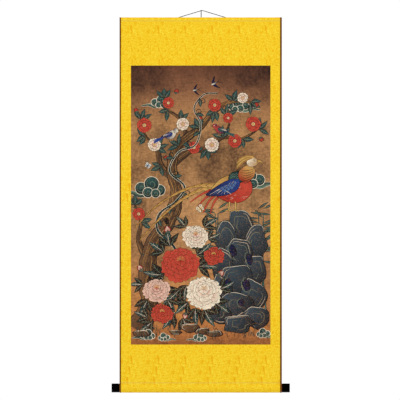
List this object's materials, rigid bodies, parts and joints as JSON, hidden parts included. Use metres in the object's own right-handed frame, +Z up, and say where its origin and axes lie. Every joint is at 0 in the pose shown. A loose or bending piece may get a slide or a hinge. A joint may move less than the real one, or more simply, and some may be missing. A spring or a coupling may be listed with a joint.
{
  "type": "silk hanging scroll with roller, rod and hanging cord",
  "caption": "Flat silk hanging scroll: a tall picture in a brocade mount, on a wooden roller with knobs and a head rod hung by a cord.",
  "frame": {"origin": "the point of the hanging cord's underside that lies on the nail or hook", "axes": "+Z up, +X to the viewer's right, -Y out of the picture towards the viewer"},
  "size_m": [0.638, 0.034, 1.3735],
  "materials": {
    "yellow_brocade": "golden yellow figured silk, soft satin sheen",
    "painted_silk": "aged brown painted silk, matt",
    "brown_silk": "plain brown silk edging",
    "bare_wood": "planed softwood",
    "black_lacquer": "turned wood in black lacquer, satin gloss",
    "iron_wire": "dull iron wire",
    "grey_cord": "dark grey braided silk cord"
  },
  "bodies": {
    "root": {"head_panel": "yellow_brocade", "foot_panel": "yellow_brocade", "side_left": "yellow_brocade", "side_right": "yellow_brocade", "picture": "painted_silk", "edging_left": "brown_silk", "edging_right": "brown_silk", "top_rod": "bare_wood", "roller": "bare_wood", "knob_left": "black_lacquer", "knob_right": "black_lacquer", "screw_eye_left": "iron_wire", "screw_eye_right": "iron_wire", "hanging_cord": "grey_cord", "cord_knot_left": "grey_cord", "cord_knot_right": "grey_cord", "tie_hitch": "grey_cord", "tie_strand_left": "grey_cord", "tie_strand_right": "grey_cord", "tie_tip_left": "grey_cord", "tie_tip_right": "grey_cord"}
  },
  "joints": []
}
